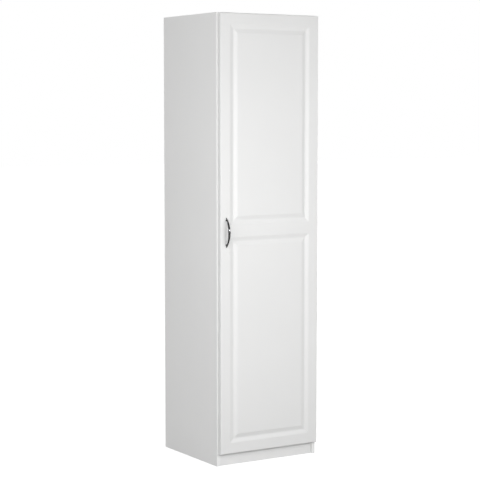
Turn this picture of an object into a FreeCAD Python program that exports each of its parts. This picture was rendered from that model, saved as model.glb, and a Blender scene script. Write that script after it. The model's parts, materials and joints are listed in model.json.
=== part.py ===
"""Tall white storage cabinet with one raised-field door, concealed hinges and adjustable shelves.

Frame: +X right, +Y to the back, +Z up, millimetres. The origin lies on the floor, under the middle of
the cabinet's overall box, which reaches from the pull in front to the back sheets behind.
"""
import FreeCAD, Part
import math
import os
import re

import Sketcher

Vector = FreeCAD.Vector

# Driving dimensions, each set by itself.
SIZES = {
    # carcass boards
    "cabinet_width": 467,
    "cabinet_height": 1780,
    "side_depth": 421,
    "board": 15,
    "kick_height": 48,
    "kick_recess": 6.5,
    "fixed_shelf_height": 912,
    # back sheets and their nails
    "back_thickness": 3,
    "back_margin": 2,
    "back_seam": 1,
    "nail_diameter": 1.6,
    "nail_length": 20,
    "nail_head_diameter": 3.6,
    "nail_head_depth": 1,
    # knock-down fittings
    "cam_diameter": 15,
    "cam_depth": 12,
    "cam_slot_width": 2,
    "cam_slot_depth": 2.5,
    "cam_end_distance": 24,
    "cam_edge_inset": 60,
    "cam_bolt_diameter": 6,
    "cam_bolt_bite": 10,
    "dowel_diameter": 8,
    "dowel_bite": 10,
    "dowel_reach": 20,
    # adjustable shelves and their pins
    "shelf_setback": 30,
    "shelf_end_gap": 1,
    "shelf_back_gap": 1,
    "pin_hole_diameter": 5,
    "pin_hole_depth": 10,
    "pin_hole_pitch": 32,
    "pin_edge_inset": 62,
    "pin_play": 0.05,
    "pin_shank_length": 9,
    "pin_collar_diameter": 8,
    "pin_collar_thickness": 1,
    "pin_tongue_length": 10,
    "pin_tongue_width": 7,
    "pin_tongue_thickness": 3,
    # door and its two raised fields
    "door_thickness": 18,
    "door_gap": 2,
    "door_reveal_left": 6,
    "door_reveal_right": 4,
    "door_reveal_top": 3,
    "door_foot": 50,
    "door_edge_radius": 3,
    "stile_line": 60,
    "top_rail_line": 59,
    "bottom_rail_line": 60,
    "mid_rail_height": 932.5,
    "mid_rail_width": 81,
    "groove_slope": 19,
    "groove_depth": 5,
    "groove_hollow": 5,
    "bumper_diameter": 9,
    "bumper_inset": 13,
    "bumper_clearance": 0.1,
    # bow pull
    "pull_height": 927,
    "pull_inset": 25.5,
    "pull_length": 116,
    "pull_centres": 96,
    "pull_projection": 27,
    "pull_width": 10,
    "pull_thickness": 7,
    "pull_tip_width": 3.4,
    "pull_tip_thickness": 3,
    "pull_post_diameter": 6.5,
    "pull_screw_diameter": 4,
    "pull_screw_bite": 6,
    "pull_screw_head_diameter": 8,
    "pull_screw_head_height": 1.8,
    # concealed hinges
    "hinge_end_inset": 100,
    "hinge_shelf_rise": 73,
    "cup_bore_diameter": 35,
    "cup_bore_depth": 11.5,
    "cup_edge": 3,
    "cup_clearance": 0.1,
    "cup_wall": 1,
    "cup_floor_gap": 0.5,
    "cup_pivot_offset": 13.2,
    "cup_pivot_depth": 5,
    "flange_thickness": 1,
    "flange_height": 58,
    "flange_width": 21,
    "cup_screw_spacing": 45,
    "cup_screw_offset": 9.5,
    "cup_screw_diameter": 3.5,
    "cup_screw_length": 12,
    "cup_screw_head_diameter": 6.5,
    "arm_pivot_inset": 14,
    "arm_pivot_setback": 1,
    "arm_nose": 2.6,
    "arm_length": 62,
    "arm_sheet": 1.3,
    "arm_cheek_depth": 9,
    "link_width": 8,
    "link_thickness": 1.6,
    "link_eye_diameter": 4.4,
    "link_elbow_reach": 7.7,
    "link_elbow_drop": 3.6,
    "link_side_gap": 0.3,
    "link_pin_diameter": 2.5,
    "link_pin_play": 0.05,
    "plate_thickness": 2.5,
    "plate_height": 46,
    "plate_length": 40,
    "plate_setback": 18,
    "plate_screw_setback": 37,
    "plate_screw_spacing": 32,
    "plate_screw_diameter": 5,
    "plate_screw_length": 13,
    "plate_screw_head_diameter": 7,
    "rail_length": 34,
    "rail_side_gap": 0.1,
    "arm_screw_setback": 46,
    "arm_screw_diameter": 4,
    "arm_screw_length": 12,
    "arm_screw_head_diameter": 6.4,
    "hinge_screw_head_height": 1.8,
    # anti-tip wall bracket under the top
    "bracket_leg": 32,
    "bracket_width": 22,
    "bracket_sheet": 2,
    "bracket_hole_diameter": 6,
    "bracket_hole_drop": 18,
    "bracket_offset": 90,
    "bracket_screw_spacing": 12,
    "bracket_screw_setback": 20,
    "bracket_screw_diameter": 3.5,
    "bracket_screw_length": 11,
    "bracket_screw_head_diameter": 7,
    "bracket_screw_head_height": 1.8,
    "wall_screw_hole_diameter": 8,
}

# Sizes and places that follow from the driving dimensions.
DERIVED = {
    "overall_depth": "pull_projection + door_thickness + door_gap + side_depth + back_thickness",
    "half_width": "cabinet_width / 2",
    "inside_x": "half_width - board",
    "front_y": "pull_projection + door_thickness + door_gap - overall_depth / 2",
    "rear_y": "front_y + side_depth",
    "top_z": "cabinet_height - board",
    "fixed_shelf_middle": "fixed_shelf_height + board / 2",
    "lower_clear": "(fixed_shelf_height - kick_height - 3 * board) / 3",
    "upper_clear": "(top_z - fixed_shelf_height - 3 * board) / 3",
    "shelf_1_height": "kick_height + board + lower_clear",
    "shelf_2_height": "shelf_1_height + board + lower_clear",
    "shelf_3_height": "fixed_shelf_height + board + upper_clear",
    "shelf_4_height": "shelf_3_height + board + upper_clear",
    "door_width": "cabinet_width - door_reveal_left - door_reveal_right",
    "door_height": "cabinet_height - door_reveal_top - door_foot",
    "door_left": "door_reveal_left - half_width",
    "door_right": "half_width - door_reveal_right",
    "door_back": "front_y - door_gap",
    "door_face": "door_back - door_thickness",
    "hollow_depth": "groove_depth * groove_hollow / (2 * groove_slope - groove_hollow)",
    "hollow_radius": "(groove_hollow^2 + hollow_depth^2) / (2 * hollow_depth)",
    "hinge_1_height": "door_foot + hinge_end_inset",
    "hinge_2_height": "fixed_shelf_height + board + hinge_shelf_rise",
    "hinge_3_height": "door_foot + door_height - hinge_end_inset",
    "pull_x": "door_left + pull_inset",
    "pull_rise": "pull_projection - pull_thickness / 2",
    "pull_radius": "((pull_length / 2)^2 + pull_rise^2) / (2 * pull_rise)",
    "pull_half_angle": "asin(pull_length / 2 / pull_radius)",
    "post_height": "sqrt(pull_radius^2 - (pull_centres / 2)^2) - pull_radius + pull_rise",
    "cup_x": "door_right - cup_edge - cup_bore_diameter / 2",
    "cup_pivot_x": "cup_x + cup_pivot_offset",
    "cup_pivot_y": "door_back - cup_pivot_depth",
    "cup_radius": "cup_bore_diameter / 2 - cup_clearance",
    "cup_pin_reach": "sqrt(cup_radius^2 - (cup_pivot_offset + link_pin_diameter / 2)^2)",
    "cup_pin_length": "2 * (cup_pin_reach - link_side_gap)",
    "arm_pivot_x": "inside_x - arm_pivot_inset",
    "arm_pivot_y": "front_y + arm_pivot_setback",
    "elbow_x": "cup_pivot_x - link_elbow_reach",
    "elbow_y": "cup_pivot_y - link_elbow_drop",
    "arm_inner_half": "link_width / 2 + link_side_gap",
    "web_x": "arm_pivot_x - link_eye_diameter / 2 - link_side_gap",
    "pin_drop": "pin_collar_diameter / 2",
    "pin_front_y": "front_y + pin_edge_inset",
    "pin_rear_y": "rear_y - pin_edge_inset",
}

SHELVES = ("1", "2", "3", "4")
HINGES = ("1", "2", "3")
HOLES_PER_PIN = 5
NAILS_PER_SIDE = 6
NAILS_PER_END = 3
PULL_STATIONS = 9
GROOVE_CLEAR = 1.0
TURNS = {
    "x": (Vector(0, 1, 0), 90),
    "-x": (Vector(0, 1, 0), -90),
    "y": (Vector(1, 0, 0), -90),
    "-y": (Vector(1, 0, 0), 90),
    "z": (Vector(1, 0, 0), 0),
    "-z": (Vector(1, 0, 0), 180),
}

doc = FreeCAD.newDocument("storage_cabinet")
sheet = doc.addObject("Spreadsheet::Sheet", "Sizes")
ALIASES = list(SIZES) + list(DERIVED)
ALIAS_PATTERN = re.compile(r"\b(" + "|".join(sorted(ALIASES, key=len, reverse=True)) + r")\b")
pieces = {}


def fill_sheet():
    """Write the driving numbers and the formulas that follow from them, each under its alias."""
    for row, alias in enumerate(ALIASES, start=1):
        cell = f"B{row}"
        sheet.set(f"A{row}", alias)
        sheet.set(cell, str(SIZES[alias]) if alias in SIZES else "=" + DERIVED[alias])
        sheet.setAlias(cell, alias)
    doc.recompute()


def in_sheet(formula):
    """Point every alias in a formula at its cell."""
    return ALIAS_PATTERN.sub(r"Sizes.\1", str(formula))


def bind(item, **formulas):
    """Tie properties of a document object to formulas over the sheet."""
    for prop, formula in formulas.items():
        item.setExpression(prop, in_sheet(formula))
    return item


def place(item, at, along="z"):
    """Put an object at a point given by three formulas, with its own Z turned to an axis."""
    axis, angle = TURNS[along]
    item.Placement = FreeCAD.Placement(Vector(), FreeCAD.Rotation(axis, angle))
    for letter, formula in zip("xyz", at):
        item.setExpression(f"Placement.Base.{letter}", in_sheet(formula))
    return item


def value(formula):
    """The present number of a formula, for a sketch's first guess."""
    number = sheet.evalExpression(in_sheet(formula))
    return float(getattr(number, "Value", number))


def box(name, size, at):
    item = doc.addObject("Part::Box", name)
    length, width, height = size
    return place(bind(item, Length=length, Width=width, Height=height), at)


def rod(name, diameter, length, at, along="z"):
    item = doc.addObject("Part::Cylinder", name)
    return place(bind(item, Radius=f"({diameter}) / 2", Height=length), at, along)


def fuse(name, items):
    item = doc.addObject("Part::MultiFuse", name)
    item.Shapes = items
    return item


def compound(name, items):
    item = doc.addObject("Part::Compound", name)
    item.Links = items
    return item


def cut(name, base, tools):
    item = doc.addObject("Part::Cut", name)
    item.Base = base
    item.Tool = tools[0] if len(tools) == 1 else compound(name + "_cutters", tools)
    return item


def piece(name, item):
    """Register a finished sub-part under the name of its node."""
    item.Label = name
    pieces[name] = item
    return item


def sketch_on(body, plane, name, offset=None):
    """A sketch on one of the body's own origin planes, moved along the plane's normal by a formula."""
    sketch = body.newObject("Sketcher::SketchObject", name)
    support = next(f for f in body.Origin.OriginFeatures if f.Role == plane)
    sketch.AttachmentSupport = [(support, "")]
    sketch.MapMode = "FlatFace"
    if offset:
        sketch.setExpression("AttachmentOffset.Base.z", in_sheet(offset))
    return sketch


def fix_point(sketch, geometry, position, point):
    """Hold a point of the sketch at two formulas, measured from the sketch's origin."""
    for axis, formula in zip("XY", point):
        number = sketch.addConstraint(
            Sketcher.Constraint("Distance" + axis, -1, 1, geometry, position, value(formula)))
        sketch.setExpression(f"Constraints[{number}]", in_sheet(formula))


def outline(sketch, points):
    """Closed outline of straight edges through points given as pairs of formulas."""
    spots = [Vector(value(x), value(y), 0) for x, y in points]
    first = sketch.GeometryCount
    count = len(points)
    for index in range(count):
        sketch.addGeometry(Part.LineSegment(spots[index], spots[(index + 1) % count]))
    for index, point in enumerate(points):
        after = first + (index + 1) % count
        sketch.addConstraint(Sketcher.Constraint("Coincident", first + index, 2, after, 1))
        fix_point(sketch, first + index, 1, point)


def circles(sketch, spots, diameter):
    """Circles of one diameter at centres given as pairs of formulas."""
    for x, y in spots:
        centre = Vector(value(x), value(y), 0)
        number = sketch.addGeometry(Part.Circle(centre, Vector(0, 0, 1), value(diameter) / 2))
        size = sketch.addConstraint(Sketcher.Constraint("Diameter", number, value(diameter)))
        sketch.setExpression(f"Constraints[{size}]", in_sheet(diameter))
        fix_point(sketch, number, 3, (x, y))


def rectangle(length, width):
    return [("0", "0"), (length, "0"), (length, width), ("0", width)]


def padded(name, plane, points, depth):
    """A body padded from one outline on an origin plane."""
    body = doc.addObject("PartDesign::Body", name)
    sketch = sketch_on(body, plane, name + "_outline")
    outline(sketch, points)
    pad = body.newObject("PartDesign::Pad", name + "_pad")
    pad.Profile = sketch
    pad.setExpression("Length", in_sheet(depth))
    sketch.Visibility = False
    return body


def pocket(body, plane, name, spots, diameter, depth):
    """Round blind holes into a body from one of its origin planes, along the plane's normal."""
    sketch = sketch_on(body, plane, name + "_centres")
    circles(sketch, spots, diameter)
    before = body.Shape.Volume
    hole = body.newObject("PartDesign::Pocket", name)
    hole.Profile = sketch
    hole.Reversed = True
    hole.setExpression("Length", in_sheet(depth))
    doc.recompute()
    drilled = len(spots) * math.pi * value(diameter) ** 2 / 4 * value(depth)
    assert abs(before - body.Shape.Volume - drilled) < 0.02 * drilled, name
    return hole


def board(name, size, at):
    """A flat board: a rectangle on the floor plan, padded upwards."""
    length, width, height = size
    return place(padded(name, "XY_Plane", rectangle(length, width), height), at)


def screw(name, diameter, length, head_diameter, head_height):
    """A fastener drawn along +Z, with its head's underside on the XY plane."""
    shank = rod(name + "_shank", diameter, length, ("0", "0", "0"))
    head = rod(name + "_head", head_diameter, head_height, ("0", "0", f"-({head_height})"))
    return fuse(name, [shank, head])


def group(name, pattern, spots):
    """One node of identical fasteners: copies of a pattern at points, each along an axis."""
    copies = []
    for number, (x, y, z, along) in enumerate(spots, start=1):
        copy = doc.addObject("App::Link", f"{name}_{number}")
        copy.LinkedObject = pattern
        copies.append(place(copy, (x, y, z), along))
    return piece(name, compound(name, copies))


def knock_down_fittings():
    """Cam locks and bolts at the corners of each fixed board, with dowels between them."""
    disc = rod("cam_disc", "cam_diameter", "cam_depth", ("0", "0", "0"))
    slot_at = "cam_depth - cam_slot_depth"
    slots = [
        box("cam_slot_1", ("cam_diameter", "cam_slot_width", "cam_slot_depth"),
            ("-cam_diameter / 2", "-cam_slot_width / 2", slot_at)),
        box("cam_slot_2", ("cam_slot_width", "cam_diameter", "cam_slot_depth"),
            ("-cam_slot_width / 2", "-cam_diameter / 2", slot_at)),
    ]
    cam = cut("cam_pattern", disc, slots)
    bolt = rod("cam_bolt_pattern", "cam_bolt_diameter",
               "cam_bolt_bite + cam_end_distance - cam_diameter / 2", ("0", "0", "0"))
    dowel = rod("dowel_pattern", "dowel_diameter", "dowel_bite + dowel_reach", ("0", "0", "0"))
    rows = ("front_y + cam_edge_inset", "rear_y - cam_edge_inset")
    levels = {
        "top_z": ("cabinet_height - cam_depth", "z"),
        "kick_height": ("kick_height + cam_depth", "-z"),
        "fixed_shelf_height": ("fixed_shelf_height + cam_depth", "-z"),
    }
    cams, bolts, dowels = [], [], []
    for underside, (cam_z, facing) in levels.items():
        middle = f"{underside} + board / 2"
        for row in rows:
            cams.append(("cam_end_distance - inside_x", row, cam_z, facing))
            cams.append(("inside_x - cam_end_distance", row, cam_z, facing))
            bolts.append(("-inside_x - cam_bolt_bite", row, middle, "x"))
            bolts.append(("inside_x + cam_bolt_bite", row, middle, "-x"))
        dowels.append(("-inside_x - dowel_bite", "(front_y + rear_y) / 2", middle, "x"))
        dowels.append(("inside_x + dowel_bite", "(front_y + rear_y) / 2", middle, "-x"))
    kick_middle = "front_y + kick_recess + board / 2"
    dowels.append(("-inside_x - dowel_bite", kick_middle, "kick_height / 2", "x"))
    dowels.append(("inside_x + dowel_bite", kick_middle, "kick_height / 2", "-x"))
    return [group("cam_locks", cam, cams), group("cam_bolts", bolt, bolts),
            group("wood_dowels", dowel, dowels)]


def back_spans():
    """Lower and upper edges of the two back sheets, which meet behind the fixed shelf."""
    return {
        "lower_back_sheet": ("kick_height + back_margin", "fixed_shelf_middle - back_seam / 2"),
        "upper_back_sheet": ("fixed_shelf_middle + back_seam / 2", "cabinet_height - back_margin"),
    }


def back_nails():
    """Flush nails down both long edges of each sheet and along its outer short edge."""
    head = doc.addObject("Part::Cone", "nail_head")
    bind(head, Radius1="nail_head_diameter / 2", Radius2="nail_diameter / 2", Height="nail_head_depth")
    nail = fuse("nail_pattern", [head, rod("nail_shank", "nail_diameter", "nail_length", ("0", "0", "0"))])
    rear = "rear_y + back_thickness"
    edge_x = "(half_width - board / 2)"
    spots = []
    for low, high in back_spans().values():
        for step in range(NAILS_PER_SIDE):
            share = (step + 0.5) / NAILS_PER_SIDE
            level = f"({low}) + ({high} - ({low})) * {share}"
            spots += [(sign + edge_x, rear, level, "-y") for sign in ("", "-")]
    for level in ("kick_height + board / 2", "top_z + board / 2"):
        for step in range(NAILS_PER_END):
            share = (step + 1) / (NAILS_PER_END + 1) * 2 - 1
            spots.append((f"inside_x * {share}", rear, level, "-y"))
    return group("back_nails", nail, spots)


def wall_bracket():
    """Steel angle under the top, against the back sheet, with a clear hole for a wall screw."""
    profile = [("0", "0"), ("0", "-bracket_leg"),
               ("-bracket_sheet", "-bracket_leg"), ("-bracket_sheet", "-bracket_sheet"),
               ("-bracket_leg", "-bracket_sheet"), ("-bracket_leg", "0")]
    angle = place(padded("bracket_angle", "YZ_Plane", profile, "bracket_width"),
                  ("bracket_offset - bracket_width / 2", "rear_y", "top_z"))
    hole = rod("bracket_hole", "bracket_hole_diameter", "3 * bracket_sheet",
               ("bracket_offset", "rear_y - 2 * bracket_sheet", "top_z - bracket_hole_drop"), "y")
    pattern = screw("bracket_screw_pattern", "bracket_screw_diameter", "bracket_screw_length",
                    "bracket_screw_head_diameter", "bracket_screw_head_height")
    seat = ("rear_y - bracket_screw_setback", "top_z - bracket_sheet", "z")
    screws = group("bracket_screws", pattern, [
        ("bracket_offset - bracket_screw_spacing / 2", *seat),
        ("bracket_offset + bracket_screw_spacing / 2", *seat)])
    piece("wall_bracket", cut("wall_bracket", angle, [hole, screws]))
    return screws


def pin_rows():
    """Ends of the shelf-pin holes: each side's inner face and the way into the board."""
    return [(x, y, along) for x, along in (("-inside_x", "-x"), ("inside_x", "x"))
            for y in ("pin_front_y", "pin_rear_y")]


def pin_holes():
    hole = rod("pin_hole_pattern", "pin_hole_diameter", "pin_hole_depth", ("0", "0", "0"))
    copies = []
    for number in SHELVES:
        for step in range(HOLES_PER_PIN):
            rise = f"pin_hole_pitch * ({step - HOLES_PER_PIN // 2})"
            level = f"shelf_{number}_height - pin_drop + {rise}"
            for x, y, along in pin_rows():
                copy = doc.addObject("App::Link", "pin_hole")
                copy.LinkedObject = hole
                copies.append(place(copy, (x, y, level), along))
    return compound("pin_holes", copies)


def shelf_pins():
    """Spoon pins: a shank in the hole, a collar on the board and a flat tongue under the shelf."""
    shank = rod("pin_shank", "pin_hole_diameter - 2 * pin_play", "pin_shank_length", ("0", "0", "0"))
    collar = rod("pin_collar", "pin_collar_diameter", "pin_collar_thickness",
                 ("0", "0", "-pin_collar_thickness"))
    tongue_size = ("pin_tongue_thickness", "pin_tongue_width", "pin_tongue_length")
    tongue_starts = {"-x": "pin_drop - pin_tongue_thickness", "x": "-pin_drop"}
    patterns = {}
    for along, start in tongue_starts.items():
        tongue = box("pin_tongue", tongue_size, (start, "-pin_tongue_width / 2", "-pin_tongue_length"))
        patterns[along] = fuse("pin_pattern", [shank, collar, tongue])
    copies = []
    for number in SHELVES:
        for x, y, along in pin_rows():
            copy = doc.addObject("App::Link", f"shelf_pin_{number}")
            copy.LinkedObject = patterns[along]
            copies.append(place(copy, (x, y, f"shelf_{number}_height - pin_drop"), along))
    piece("shelf_pins", compound("shelf_pins", copies))


def adjustable_shelves():
    for number in SHELVES:
        name = f"adjustable_shelf_{number}"
        piece(name, board(name, (
            "2 * (inside_x - shelf_end_gap)",
            "side_depth - shelf_setback - shelf_back_gap",
            "board",
        ), ("shelf_end_gap - inside_x", "front_y + shelf_setback", f"shelf_{number}_height")))


def carcass(fasteners, holes, plate_screws):
    """The six boards and two back sheets, each bored where its fittings go."""
    upright = ("board", "side_depth", "cabinet_height")
    flat = ("2 * inside_x", "side_depth", "board")
    boards = {
        "left_side_panel": (upright, ("-half_width", "front_y", "0"), [holes]),
        "right_side_panel": (upright, ("inside_x", "front_y", "0"), [holes, plate_screws]),
        "top_panel": (flat, ("-inside_x", "front_y", "top_z"), []),
        "bottom_panel": (flat, ("-inside_x", "front_y", "kick_height"), []),
        "fixed_shelf": (flat, ("-inside_x", "front_y", "fixed_shelf_height"), []),
        "toe_kick": (("2 * inside_x", "board", "kick_height"),
                     ("-inside_x", "front_y + kick_recess", "0"), []),
    }
    wall_hole = rod("wall_screw_hole", "wall_screw_hole_diameter", "3 * back_thickness",
                    ("bracket_offset", "rear_y - back_thickness", "top_z - bracket_hole_drop"), "y")
    for name, (low, high) in back_spans().items():
        size = ("2 * (half_width - back_margin)", "back_thickness", f"{high} - ({low})")
        boards[name] = (size, ("back_margin - half_width", "rear_y", low), [wall_hole])
    for name, (size, at, cutters) in boards.items():
        piece(name, cut(name, board(name + "_board", size, at), fasteners + cutters))


def field_spans():
    """Groove lines of the two raised fields, as heights above the door's lower edge."""
    middle = "(mid_rail_height - door_foot)"
    return {
        "lower": ("bottom_rail_line", f"{middle} - mid_rail_width / 2"),
        "upper": (f"{middle} + mid_rail_width / 2", "door_height - top_rail_line"),
    }


def groove_profile(sketch, level):
    """Two straight slopes that run down from the door's face into a shallow hollow."""
    face = "-door_thickness"
    above = f"-door_thickness - {GROOVE_CLEAR}"
    turn = "groove_depth - hollow_depth - door_thickness"
    low, high = (f"{level} + groove_slope * ({sign})" for sign in (-1, 1))
    hollow_low, hollow_high = (f"{level} + groove_hollow * ({sign})" for sign in (-1, 1))
    corners = [(turn, hollow_low), (face, low), (above, low),
               (above, high), (face, high), (turn, hollow_high)]
    spots = [Vector(value(x), value(y), 0) for x, y in corners]
    for index in range(len(corners) - 1):
        line = sketch.addGeometry(Part.LineSegment(spots[index], spots[index + 1]))
        fix_point(sketch, line, 1, corners[index])
        fix_point(sketch, line, 2, corners[index + 1])
    bottom = Vector(value("groove_depth - door_thickness"), value(level), 0)
    arc = sketch.addGeometry(Part.Arc(spots[0], bottom, spots[-1]))
    first = 1 if sketch.getPoint(arc, 1).distanceToPoint(spots[0]) < value("groove_hollow") else 2
    fix_point(sketch, arc, first, corners[0])
    fix_point(sketch, arc, 3 - first, corners[-1])
    size = sketch.addConstraint(Sketcher.Constraint("Radius", arc, value("hollow_radius")))
    sketch.setExpression(f"Constraints[{size}]", in_sheet("hollow_radius"))


def door_slab(cup_screws, pull_screws):
    """A slab with softened front edges, two routed fields and three cup bores."""
    body = padded("door_body", "XZ_Plane", rectangle("door_width", "door_height"), "door_thickness")
    doc.recompute()
    slab = body.Tip
    face = -value("door_thickness")
    rim = [f"Edge{number}" for number, edge in enumerate(slab.Shape.Edges, start=1)
           if all(abs(vertex.Y - face) < 1e-6 for vertex in edge.Vertexes)]
    soft = body.newObject("PartDesign::Fillet", "door_soft_edge")
    soft.Base = (slab, rim)
    soft.setExpression("Radius", in_sheet("door_edge_radius"))
    for name, (low, high) in field_spans().items():
        path = sketch_on(body, "XZ_Plane", f"{name}_field_path", "door_thickness")
        outline(path, [("door_width / 2", low), ("stile_line", low), ("stile_line", high),
                       ("door_width - stile_line", high), ("door_width - stile_line", low)])
        profile = sketch_on(body, "YZ_Plane", f"{name}_field_profile", "door_width / 2")
        groove_profile(profile, low)
        doc.recompute()
        before = body.Shape.Volume
        groove = body.newObject("PartDesign::SubtractivePipe", f"{name}_field_groove")
        groove.Profile = profile
        groove.Spine = (path, [f"Edge{number}" for number in range(1, path.GeometryCount + 1)])
        groove.Transition = "Right corner"
        doc.recompute()
        section = value("groove_depth") * value("groove_slope") / 2
        assert before - body.Shape.Volume > section * value(f"2 * ({high} - ({low}))"), name
    centres = [("door_width - cup_edge - cup_bore_diameter / 2", f"hinge_{number}_height - door_foot")
               for number in HINGES]
    pocket(body, "XZ_Plane", "cup_bores", centres, "cup_bore_diameter", "cup_bore_depth")
    place(body, ("door_left", "door_back", "door_foot"))
    piece("door_slab", cut("door_slab", body, [cup_screws, pull_screws]))


def door_bumpers():
    """Soft discs on the back of the door's pull side, where they meet the side panel's edge."""
    disc = rod("bumper_pattern", "bumper_diameter", "door_gap - bumper_clearance", ("0", "0", "0"))
    x = "bumper_inset - half_width"
    levels = ("door_foot + bumper_inset", "cabinet_height - door_reveal_top - bumper_inset")
    group("door_bumpers", disc, [(x, "door_back", level, "y") for level in levels])


def pull_posts():
    return [f"pull_height + pull_centres / 2 * ({sign})" for sign in (-1, 1)]


def bow_pull():
    """A bow that swells from its pointed tips to its middle, on two short screw posts."""
    sections = []
    for station in range(PULL_STATIONS):
        share = 2 * station / (PULL_STATIONS - 1) - 1
        ring = doc.addObject("Part::Ellipse", f"pull_ring_{station}")
        swell = f"cos({90 * share})"
        bind(ring, MajorRadius=f"(pull_tip_width + (pull_width - pull_tip_width) * {swell}) / 2",
             MinorRadius=f"(pull_tip_thickness + (pull_thickness - pull_tip_thickness) * {swell}) / 2")
        turn = f"pull_half_angle * ({share})"
        place(ring, ("pull_x", f"door_face - pull_rise + pull_radius * (1 - cos({turn}))",
                     f"pull_height + pull_radius * sin({turn})"))
        ring.setExpression("Placement.Rotation.Angle", in_sheet(f"-({turn})"))
        sections.append(ring)
    bow = doc.addObject("Part::Loft", "pull_bow")
    bow.Sections = sections
    bow.Solid = True
    posts = [rod("pull_post", "pull_post_diameter", "post_height", ("pull_x", "door_face", level), "-y")
             for level in pull_posts()]
    space = ("2 * pull_width", "2 * pull_projection", "2 * pull_length")
    corner = ("pull_x - pull_width", "door_face - 2 * pull_projection", "pull_height - pull_length")
    before_door = box("pull_space", space, corner)
    whole = doc.addObject("Part::MultiCommon", "pull_on_face")
    whole.Shapes = [fuse("pull_with_posts", [bow] + posts), before_door]
    pattern = screw("pull_screw_pattern", "pull_screw_diameter", "door_thickness + pull_screw_bite",
                    "pull_screw_head_diameter", "pull_screw_head_height")
    seats = [("pull_x", "door_back", level, "-y") for level in pull_posts()]
    screws = group("pull_screws", pattern, seats)
    piece("bow_pull", cut("bow_pull", whole, [screws]))
    return screws


def hinge_fasteners():
    """Screws and pins of the three hinges, one node for each kind."""
    heights = [f"hinge_{number}_height" for number in HINGES]
    head = "hinge_screw_head_height"
    plate = screw("plate_screw_pattern", "plate_screw_diameter", "plate_screw_length",
                  "plate_screw_head_diameter", head)
    arm = screw("arm_screw_pattern", "arm_screw_diameter", "arm_screw_length",
                "arm_screw_head_diameter", head)
    cup = screw("cup_screw_pattern", "cup_screw_diameter", "cup_screw_length",
                "cup_screw_head_diameter", head)
    arm_pin_length = "2 * (arm_inner_half + arm_sheet)"
    arm_pin = rod("arm_pin_pattern", "link_pin_diameter", arm_pin_length, ("0", "0", "0"))
    cup_pin = rod("cup_pin_pattern", "link_pin_diameter", "cup_pin_length", ("0", "0", "0"))
    plates, cups = [], []
    for height in heights:
        for sign in (-1, 1):
            plates.append(("inside_x - plate_thickness", "front_y + plate_screw_setback",
                           f"{height} + plate_screw_spacing / 2 * ({sign})", "x"))
            cups.append(("cup_x - cup_screw_offset", "door_back + flange_thickness",
                         f"{height} + cup_screw_spacing / 2 * ({sign})", "-y"))
    return {
        "plate": group("plate_screws", plate, plates),
        "arm": group("arm_screws", arm, [
            ("web_x - arm_sheet", "front_y + arm_screw_setback", height, "x") for height in heights]),
        "cup": group("cup_screws", cup, cups),
        "arm_pin": group("arm_pins", arm_pin, [
            ("arm_pivot_x", "arm_pivot_y", f"{height} - {arm_pin_length} / 2", "z") for height in heights]),
        "cup_pin": group("cup_pins", cup_pin, [
            ("cup_pivot_x", "cup_pivot_y", f"{height} - cup_pin_length / 2", "z") for height in heights]),
    }


def hinge_plate(number, height, screws):
    """A winged plate on the side panel with a rail that carries the arm."""
    name = f"hinge_plate_{number}"
    wing = box(f"{name}_wing", ("plate_thickness", "plate_length", "plate_height"),
               ("inside_x - plate_thickness", "front_y + plate_setback", f"{height} - plate_height / 2"))
    rail_half = "(arm_inner_half - rail_side_gap)"
    rail = box(f"{name}_rail", ("inside_x - plate_thickness - web_x", "rail_length", f"2 * {rail_half}"),
               ("web_x", "front_y + plate_setback + (plate_length - rail_length) / 2",
                f"{height} - {rail_half}"))
    piece(name, cut(name, fuse(f"{name}_solid", [wing, rail]), [screws["plate"], screws["arm"]]))


def hinge_arm(number, height, screws):
    """A channel of folded sheet: a web over the rail and two cheeks that hold the link's pin."""
    name = f"hinge_arm_{number}"
    half = "(arm_inner_half + arm_sheet)"
    section = [("0", f"-{half}"), ("arm_cheek_depth", f"-{half}"),
               ("arm_cheek_depth", "-arm_inner_half"), ("arm_sheet", "-arm_inner_half"),
               ("arm_sheet", "arm_inner_half"),
               ("arm_cheek_depth", "arm_inner_half"), ("arm_cheek_depth", half), ("0", half)]
    channel = place(padded(f"{name}_channel", "XZ_Plane", section, "arm_length"),
                    ("web_x - arm_sheet", "arm_pivot_y - arm_nose + arm_length", height))
    piece(name, cut(name, channel, [screws["arm"], screws["arm_pin"]]))


def hinge_link(number, height):
    """A bent strap between two rolled eyes, which folds into the cup when the door is shut."""
    name = f"hinge_link_{number}"
    low = f"{height} - link_width / 2"
    turns = [("arm", "arm_pivot_x", "arm_pivot_y"), ("elbow", "elbow_x", "elbow_y"),
             ("cup", "cup_pivot_x", "cup_pivot_y")]
    solids = []
    for (label, x, y), (_, next_x, next_y) in zip(turns, turns[1:]):
        angle = f"atan2({next_y} - {y}; {next_x} - {x})"
        length = f"sqrt(({next_x} - {x})^2 + ({next_y} - {y})^2)"
        strap = doc.addObject("Part::Box", f"{name}_{label}_strap")
        bind(strap, Length=length, Width="link_thickness", Height="link_width")
        corner_x = f"{x} + link_thickness / 2 * sin({angle})"
        corner_y = f"{y} - link_thickness / 2 * cos({angle})"
        place(strap, (corner_x, corner_y, low))
        strap.Placement.Rotation = FreeCAD.Rotation(Vector(0, 0, 1), 1)
        strap.setExpression("Placement.Rotation.Angle", in_sheet(angle))
        solids.append(strap)
    for label, x, y in turns:
        diameter = "link_thickness" if label == "elbow" else "link_eye_diameter"
        solids.append(rod(f"{name}_{label}_eye", diameter, "link_width", (x, y, low)))
    bores = [rod(f"{name}_{label}_bore", "link_pin_diameter + 2 * link_pin_play", "2 * link_width",
                 (x, y, f"{height} - link_width"))
             for label, x, y in turns if label != "elbow"]
    piece(name, cut(name, fuse(f"{name}_solid", solids), bores))


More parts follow.
